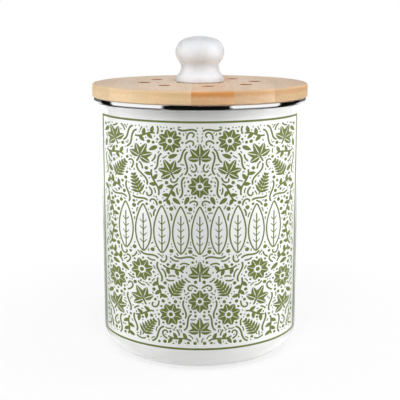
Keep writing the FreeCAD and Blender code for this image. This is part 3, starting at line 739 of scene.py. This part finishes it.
def filter_pad():
    """Felt disc with soft edges and an uneven, needled surface, in its solid's place."""
    low, high = (np.array(corner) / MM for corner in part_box("filter_pad"))
    radius, middle = high[0] - PAD_SIDE_GAP, (low[2] + high[2]) / 2
    half = (high[2] - low[2]) / 2 - PAD_FACE_GAP
    random = np.random.RandomState(PAD_SEED)
    rings = [(reach, half) for reach in np.linspace(0.0, radius - PAD_EDGE, PAD_FACE_ROWS)[1:]]
    rings += [(radius - PAD_EDGE + PAD_EDGE * math.sin(turn), half - PAD_EDGE + PAD_EDGE * math.cos(turn))
              for turn in np.linspace(0.0, math.pi / 2, PAD_EDGE_ROWS)[1:]]
    rings += [(reach, -height) for reach, height in reversed(rings)]
    turn = 2 * math.pi * np.arange(PAD_AROUND) / PAD_AROUND
    points = [[0.0, 0.0, middle + half]]
    for reach, height in rings:
        rough = random.normal(0.0, PAD_ROUGHNESS, PAD_AROUND)
        rough = (rough + np.roll(rough, 1) + np.roll(rough, -1)) / 2
        swell = PAD_SWELL * np.sin(3 * turn + reach / PAD_WAVE) - PAD_SWELL
        shift = np.clip(rough + swell, *PAD_FACE_SHIFT)
        on_side = abs(height) < half - PAD_FACE_DEPTH
        far = reach + (np.clip(rough, *PAD_SIDE_SHIFT) if on_side else 0.0)
        rise = height + np.sign(height) * shift
        points += np.stack([far * np.cos(turn), far * np.sin(turn), middle + rise], axis=1).tolist()
    points.append([0.0, 0.0, middle - half])
    steps = [(step, (step + 1) % PAD_AROUND) for step in range(PAD_AROUND)]
    faces = [(0, 1 + step, 1 + after) for step, after in steps]
    for ring in range(len(rings) - 1):
        first = 1 + ring * PAD_AROUND
        below = first + PAD_AROUND
        faces += [(first + step, below + step, below + after, first + after) for step, after in steps]
    last = 1 + (len(rings) - 1) * PAD_AROUND
    faces += [(last + step, len(points) - 1, last + after) for step, after in steps]
    pad = mesh_object("filter_felt_disc", (np.array(points) * MM).tolist(), faces, felt())
    pad.data.shade_smooth()
    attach(pad, "filter")
    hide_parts("filter_pad")


# Softboxes: name, angle from the front, height, reach, size and power
LAMPS = [
    ("left_box", -90.0, 0.25, 0.66, (0.5, 0.5), 3.8),
    ("right_box", 90.0, 0.25, 0.66, (0.5, 0.5), 4.7),
    ("front_box", 0.0, 0.88, 0.64, (0.5, 0.3), 4.6),
    ("top_box", 0.0, 1.05, 0.45, (0.5, 0.3), 3.2),
    ("rear_box", 180.0, 0.35, 1.2, (0.9, 0.6), 3.5),
]
LAMP_AIM = 0.12

# Small spot on the knob
SPOT_PLACE, SPOT_AIM = (0.0, -1.0, 0.25), (0.0, 0.0, 0.2205)
SPOT_POWER, SPOT_CONE, SPOT_RADIUS, SPOT_BLEND = 15.0, math.radians(2.4), 0.003, 0.5

# Dark cards that only mirrors see: angles at the foot and top, tones across, first row of the profile
CARDS = [
    ((-42.0, 36.0), (-34.0, 22.0), (1.0, 0.004, 1.0), 0),
    ((85.0, 134.0), (105.0, 134.0), (1.0, 0.004, 0.15), 0),
    ((-130.0, -102.0), (-130.0, -112.0), (0.15, 0.004, 1.0), 0),
    ((134.0, 172.0), (134.0, 172.0), (0.15, 0.15, 1.0), 3),
    ((-172.0, -130.0), (-172.0, -130.0), (1.0, 0.15, 0.15), 3),
]

# Rows of the cards' profile: reach, height and share of the way to the top's angles
CARD_PROFILE = [
    (0.12, 0.002, 0.0), (0.50, 0.002, 0.0), (1.3, 0.002, 0.1), (1.3, 0.055, 0.2),
    (1.3, 0.20, 0.4), (1.2, 0.9, 1.0), (0.95, 1.2, 1.0), (0.5, 1.45, 1.0),
]
CARD_SOFTNESS, CARD_STEPS = 3.0, 12

# Ring on the floor and ceiling, for mirrors too: reach, height and tone
FLOOR_RING = [(0.084, 0.001, 0.15), (0.45, 0.001, 0.18), (0.75, 0.001, 1.0)]
CEILING = [(1.48, 0.48, 1.0), (1.46, 0.60, 0.72), (1.3, 1.2, 0.68), (0.7, 1.65, 0.64), (0.01, 1.8, 0.64)]
RING_STEPS = 96

# Light of the surroundings, and the floor's size, tones and fade to white with distance
WORLD_LIGHT = 0.03
FLOOR_SIDE = 4.0
FLOOR_LOW, FLOOR_HIGH = (0.74, 0.74, 0.74), (0.78, 0.78, 0.78)
FADE_NEAR, FADE_FAR, FADE_LEAST = 0.09, 0.30, 0.80


def from_front(angle, reach):
    """Place round the object, by the angle from the camera's side."""
    turn = math.radians(angle)
    return reach * math.sin(turn), -reach * math.cos(turn)


def vector_angles(aim):
    """Turn that points a lamp along a direction."""
    flat = math.hypot(aim[0], aim[1])
    return (math.atan2(flat, -aim[2]), 0.0, math.atan2(aim[1], aim[0]) - math.pi / 2)


def hung(data, place, aim):
    """Hang a lamp at a place, aimed at a point, out of sight of mirrors."""
    lamp = bpy.data.objects.new(data.name, data)
    lamp.location = place
    lamp.rotation_euler = vector_angles(np.subtract(aim, place))
    lamp.visible_glossy = False
    bpy.context.collection.objects.link(lamp)


def lamps():
    """Softboxes round the object, and a small spot on the knob."""
    for name, angle, height, reach, size, power in LAMPS:
        data = bpy.data.lights.new(name, "AREA")
        data.shape = "RECTANGLE"
        data.size, data.size_y = size
        data.energy = power
        hung(data, (*from_front(angle, reach), height), (0.0, 0.0, LAMP_AIM))
    spot = bpy.data.lights.new("knob_spot", "SPOT")
    spot.energy = SPOT_POWER
    spot.spot_size = SPOT_CONE
    spot.spot_blend = SPOT_BLEND
    spot.shadow_soft_size = SPOT_RADIUS
    hung(spot, SPOT_PLACE, SPOT_AIM)


def staged(name, points, faces, material):
    """Object of the studio, which is no part of the caddy."""
    item = mesh_object(name, points, faces, material)
    return item


def strip(name, rows, tones, closed=False):
    """Grid of points with a tone at each, as a glowing sheet that only mirrors see."""
    long, wide = len(rows), len(rows[0])
    steps = wide if closed else wide - 1
    faces = []
    for row in range(long - 1):
        for step in range(steps):
            place, after = row * wide + step, row * wide + (step + 1) % wide
            faces.append((place, place + wide, after + wide, after))
    shader = Shader(name)
    tone = shader.node("ShaderNodeAttribute", attribute_name="tone")
    shader.set(Base_Color=(0.0, 0.0, 0.0), Roughness=1.0, Specular_IOR_Level=0.0)
    shader.set(Emission_Color=tone.outputs["Fac"], Emission_Strength=1.0)
    sheet = staged(name, [point for row in rows for point in row], faces, shader.material)
    sheet.data.attributes.new("tone", "FLOAT", "POINT").data.foreach_set("value", np.ravel(tones))
    sheet.visible_camera = False
    sheet.visible_diffuse = False
    sheet.visible_shadow = False
    sheet.visible_transmission = False


def cards():
    """Dark cards with soft, slanted edges, a dark ring on the floor and a grey ceiling, for the mirrors."""
    for number, (low, high, (left, middle, right), nearest) in enumerate(CARDS):
        rows = []
        for reach, height, share in CARD_PROFILE[nearest:]:
            first, last = (np.array(low) * (1.0 - share) + np.array(high) * share).tolist()
            turns = [first, *np.linspace(first + CARD_SOFTNESS, last - CARD_SOFTNESS, CARD_STEPS), last]
            rows.append([(*from_front(turn, reach), height) for turn in turns])
        strip(f"card_{number}", rows, [[left] + [middle] * CARD_STEPS + [right]] * len(rows))
    turns = np.linspace(0.0, 360.0, RING_STEPS, endpoint=False)
    for name, levels in {"floor_ring": FLOOR_RING, "ceiling": CEILING}.items():
        rows = [[(*from_front(turn, reach), height) for turn in turns] for reach, height, _ in levels]
        strip(name, rows, [[tone] * RING_STEPS for _, _, tone in levels], closed=True)


def lit_paths(tree):
    """Factor that is 1 for camera, mirror and glass rays."""
    rays = tree.nodes.new("ShaderNodeLightPath")
    total = rays.outputs["Is Camera Ray"]
    for name in ("Is Glossy Ray", "Is Transmission Ray"):
        node = tree.nodes.new("ShaderNodeMath")
        node.operation = "MAXIMUM"
        tree.links.new(total, node.inputs[0])
        tree.links.new(rays.outputs[name], node.inputs[1])
        total = node.outputs["Value"]
    return total


def world():
    """White to the camera and in mirrors, grey as light."""
    studio = bpy.data.worlds.new("studio")
    bpy.context.scene.world = studio
    studio.use_nodes = True
    tree = studio.node_tree
    strength = tree.nodes.new("ShaderNodeMapRange")
    tree.links.new(lit_paths(tree), strength.inputs["Value"])
    strength.inputs["To Min"].default_value = WORLD_LIGHT
    strength.inputs["To Max"].default_value = 1.0
    background = tree.nodes["Background"]
    background.inputs["Color"].default_value = (1.0, 1.0, 1.0, 1.0)
    tree.links.new(strength.outputs["Result"], background.inputs["Strength"])


def floor():
    """Pale floor that keeps the shadow near the object and fades to white."""
    shader = Shader("floor")
    grain = shader.noise(shader.place(), scale=60.0, detail=3.0)
    shader.set(Base_Color=shader.ramp(grain, (0.3, FLOOR_LOW), (0.7, FLOOR_HIGH)))
    shader.set(Roughness=0.9, Specular_IOR_Level=0.1)
    glow = shader.node("ShaderNodeEmission")
    x, y, _ = shader.axes(shader.place())
    fade = shader.span(shader.length(x, y), FADE_LEAST, 1.0, FADE_NEAR, FADE_FAR)
    fade = shader.math("MULTIPLY", fade, lit_paths(shader.tree))
    blend = shader.node("ShaderNodeMixShader")
    shader.feed(blend.inputs["Fac"], fade)
    shader.feed(blend.inputs[1], shader.surface.outputs["BSDF"])
    shader.feed(blend.inputs[2], glow.outputs["Emission"])
    shader.feed(shader.tree.nodes["Material Output"].inputs["Surface"], blend.outputs["Shader"])
    corners = [(x * FLOOR_SIDE, y * FLOOR_SIDE, 0.0) for x, y in ((-1, -1), (1, -1), (1, 1), (-1, 1))]
    staged("floor", corners, [(0, 1, 2, 3)], shader.material)


camera()
finishes()
wrapped(artwork(), "front_print", "canister", ink())
filter_pad()
lamps()
cards()
world()
floor()
bpy.context.scene.view_settings.view_transform = "Standard"
